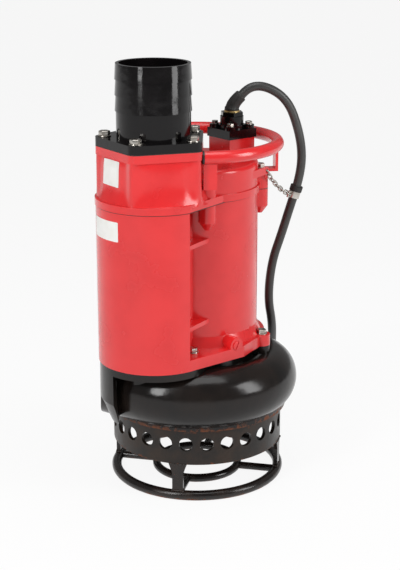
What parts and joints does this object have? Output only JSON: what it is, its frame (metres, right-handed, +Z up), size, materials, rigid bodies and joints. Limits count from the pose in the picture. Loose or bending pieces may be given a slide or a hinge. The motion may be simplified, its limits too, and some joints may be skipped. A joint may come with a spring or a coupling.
{
  "type": "slurry pump",
  "caption": "Upright submersible slurry pump: ring stand, holed strainer, round scroll casing, motor barrel with side discharge column, barbed hose outlet, ring handle and top-entry cable.",
  "frame": {"origin": "on the shaft axis at floor level, at the centre of the base ring", "axes": "+Z up along the shaft, -X from the shaft towards the discharge column"},
  "size_m": [0.8119, 0.6591, 0.935],
  "materials": {
    "red_enamel": "gloss",
    "red_plug": "satin",
    "black_enamel": "gloss",
    "black_casting": "satin",
    "black_bar": "satin",
    "wear_iron": "rough",
    "bare_iron": "satin",
    "stainless": "satin",
    "shaft_steel": "satin",
    "bearing_steel": "polished",
    "lamination_steel": "matte",
    "copper_winding": "satin",
    "seal_ceramic": "polished",
    "seal_carbon": "matte",
    "gasket_sheet": "matte",
    "black_rubber": "matte",
    "cable_jacket": "satin",
    "gland_brass": "satin",
    "dark_cap": "matte",
    "core_insulation": "satin",
    "blank_film": "satin"
  },
  "bodies": {
    "casing": {"base_ring": "black_bar", "stand_legs": "black_bar", "guard_ring": "black_bar", "guard_spokes": "black_bar", "strainer": "black_casting", "strainer_bolts": "stainless", "suction_cover": "wear_iron", "suction_bolts": "stainless", "volute_casing": "black_casting", "oil_casing": "black_casting", "oil_casing_bolts": "stainless", "seal_seats": "seal_ceramic", "lower_bearing_bracket": "bare_iron", "lower_bearing_outer_race": "bearing_steel", "bearing_retainer": "shaft_steel", "stator_core": "lamination_steel", "stator_windings": "copper_winding", "upper_bearing_bracket": "bare_iron", "upper_bearing_outer_race": "bearing_steel", "motor_frame": "red_enamel", "frame_bolts": "stainless", "oil_plug": "red_plug", "head_gasket": "gasket_sheet", "head_cover": "red_enamel", "discharge_gasket": "gasket_sheet", "discharge_coupling": "black_enamel", "discharge_bolts": "stainless", "entry_cover": "black_enamel", "entry_bolts": "stainless", "cable_gland": "black_enamel", "gland_nut": "black_enamel", "gland_ring": "gland_brass", "cable_boot": "black_rubber", "handle_tube": "red_enamel", "handle_caps": "dark_cap", "handle_brackets": "red_enamel", "head_bolts": "stainless", "restraint_chain": "stainless", "cable_clamp": "stainless", "clamp_sleeve": "black_rubber", "power_cable": "cable_jacket", "cable_coil": "cable_jacket", "coil_ties": "dark_cap", "cable_end_sleeve": "dark_cap", "cable_cores": "core_insulation"},
    "rotor": {"shaft": "shaft_steel", "impeller": "wear_iron", "agitator": "wear_iron", "agitator_nut": "stainless", "rotor_core": "lamination_steel", "seal_rotating_rings": "seal_carbon", "seal_bellows": "black_rubber", "lower_bearing_inner_race": "bearing_steel", "upper_bearing_inner_race": "bearing_steel"},
    "lower_balls": {"lower_bearing_balls": "bearing_steel"},
    "upper_balls": {"upper_bearing_balls": "bearing_steel"}
  },
  "joints": [
    {"name": "rotor_spin", "type": "hinge", "parent": "casing", "child": "rotor", "pos_m": [0, 0, 0.45], "axis": [0, 0, 1], "continuous": true},
    {"name": "lower_balls_spin", "type": "hinge", "parent": "casing", "child": "lower_balls", "pos_m": [0, 0, 0.3385], "axis": [0, 0, 1], "continuous": true},
    {"name": "upper_balls_spin", "type": "hinge", "parent": "casing", "child": "upper_balls", "pos_m": [0, 0, 0.6145], "axis": [0, 0, 1], "continuous": true}
  ],
  "couplings": [
    {"joint": "lower_balls_spin", "follows": "rotor_spin", "ratio": 0.379},
    {"joint": "upper_balls_spin", "follows": "rotor_spin", "ratio": 0.379}
  ]
}
